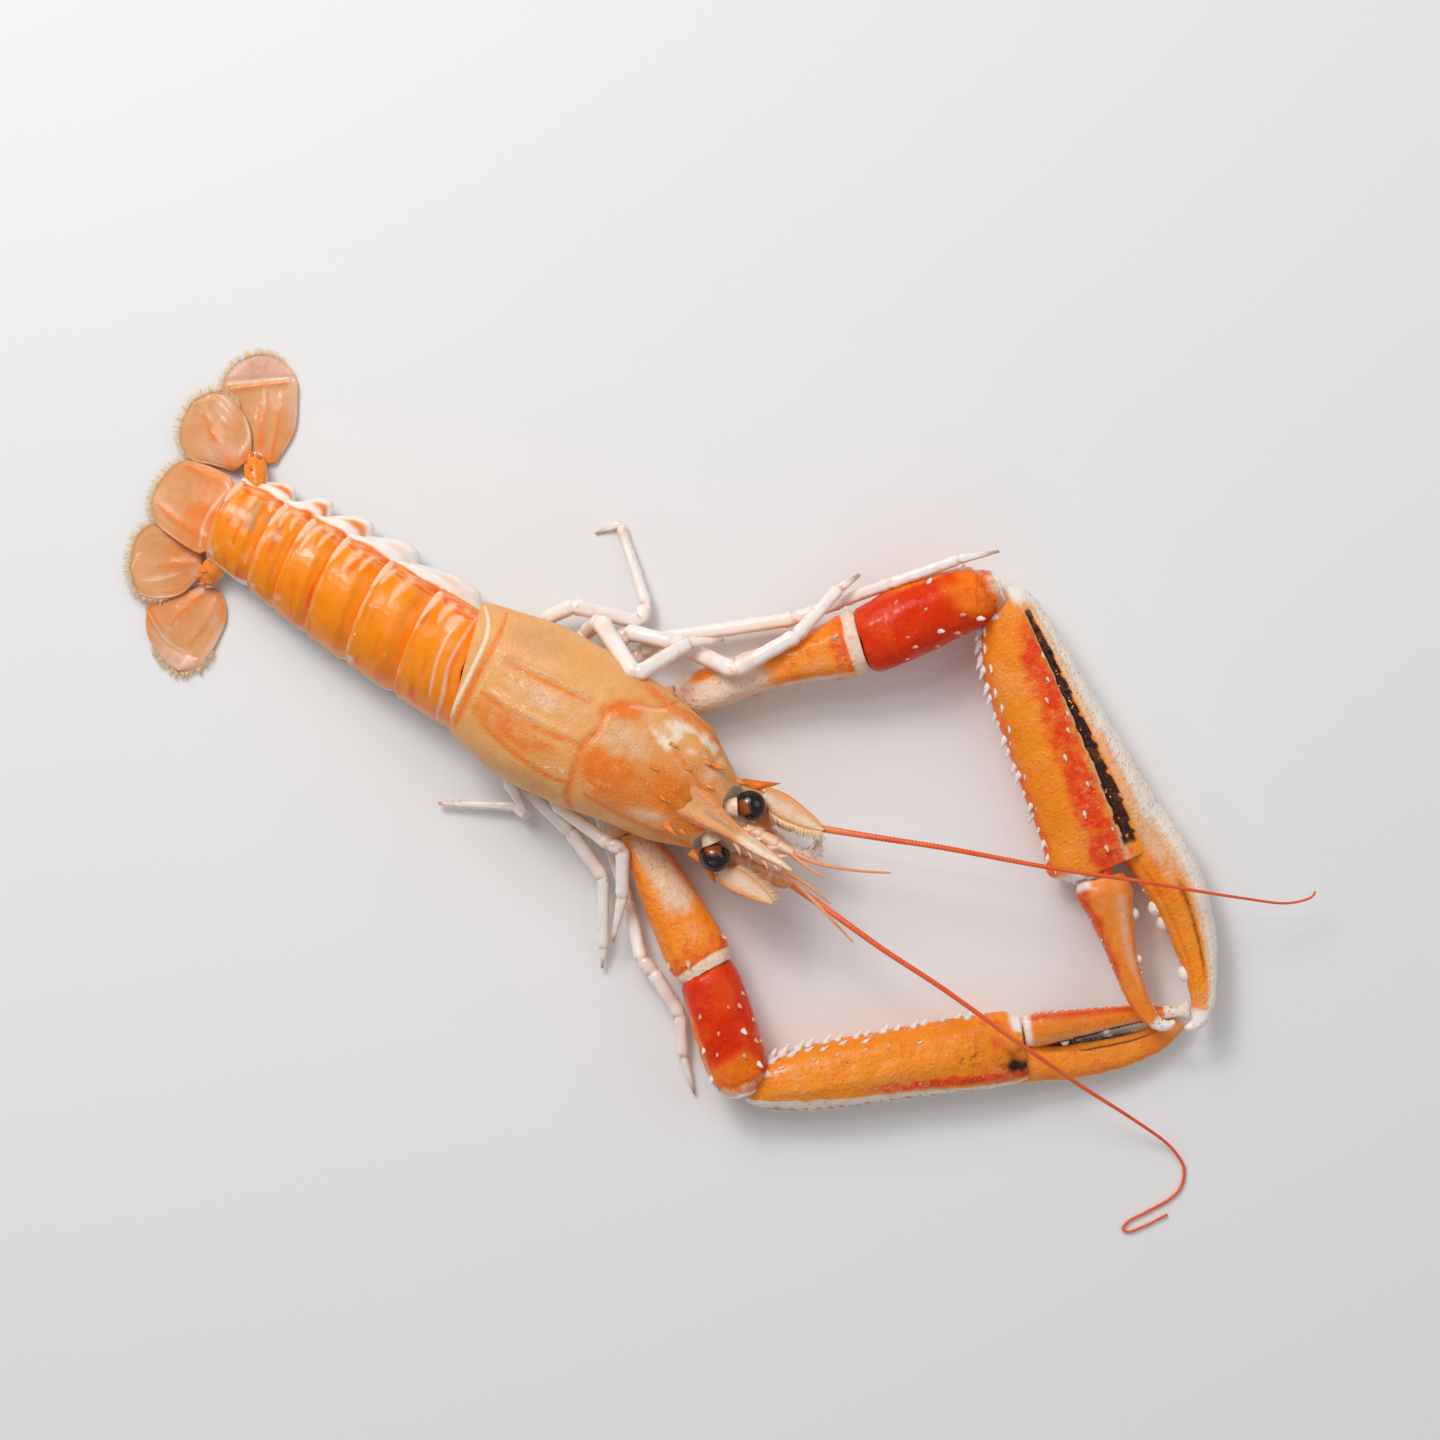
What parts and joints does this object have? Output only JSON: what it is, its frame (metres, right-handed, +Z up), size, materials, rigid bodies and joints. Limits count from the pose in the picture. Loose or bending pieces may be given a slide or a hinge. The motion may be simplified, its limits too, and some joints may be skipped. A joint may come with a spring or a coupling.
{
  "type": "norway lobster",
  "caption": "Whole raw langoustine lying belly down, with a straight tail and spread fan, long spiny claws closed to a ring in front of the head and long thin feelers",
  "frame": {"origin": "a point on the flat underside of the thorax, on the surface that the animal lies on", "axes": "+X from the tail to the head along the body, +Y to the animal's left, +Z up"},
  "size_m": [0.3485, 0.1714, 0.038],
  "materials": {
    "shell": "damp translucent tan-orange shell with fine pale granules and orange lines in its grooves",
    "tail": "wet glossy orange shell with cream-white bands and grooves",
    "fan": "thin translucent peach shell with orange ribs and a fringe of yellow bristles",
    "claw": "orange shell with a grainy golden middle, a red ridge, a dark groove and white spines",
    "wrist": "deep glossy red shell with small white tubercles",
    "finger": "orange to pale shell with white blunt teeth and a white hooked tip",
    "pale": "soft creamy white shell and membrane",
    "leg": "thin translucent pink-white shell with orange spots at the joints",
    "eye": "wet glossy brown-black",
    "whip": "salmon-orange, finely ringed"
  },
  "bodies": {
    "root": {"thorax": "pale", "carapace": "shell", "face": "pale", "eye_left": "eye", "eyestalk_left": "pale", "antennule_left": "whip", "antenna_base_left": "shell", "antenna_scale_left": "shell", "antenna_left": "whip", "maxilliped_left": "leg", "eye_right": "eye", "eyestalk_right": "pale", "antennule_right": "whip", "antenna_base_right": "shell", "antenna_scale_right": "shell", "antenna_right": "whip", "maxilliped_right": "leg", "abdomen_1": "tail", "abdomen_2": "tail", "abdomen_3": "tail", "abdomen_4": "tail", "abdomen_5": "tail", "abdomen_6": "tail", "telson": "fan", "uropod_base_left": "claw", "uropod_inner_left": "fan", "uropod_outer_left": "fan", "uropod_base_right": "claw", "uropod_inner_right": "fan", "uropod_outer_right": "fan", "claw_left_ischium": "pale", "claw_left_merus": "claw", "claw_left_carpus": "wrist", "claw_left_palm": "claw", "claw_left_finger": "finger", "claw_right_ischium": "pale", "claw_right_merus": "claw", "claw_right_carpus": "wrist", "claw_right_palm": "claw", "claw_right_finger": "finger", "leg_left_1": "leg", "leg_left_2": "leg", "leg_left_3": "leg", "leg_left_4": "leg", "leg_right_1": "leg", "leg_right_2": "leg", "leg_right_3": "leg", "leg_right_4": "leg"}
  },
  "joints": []
}
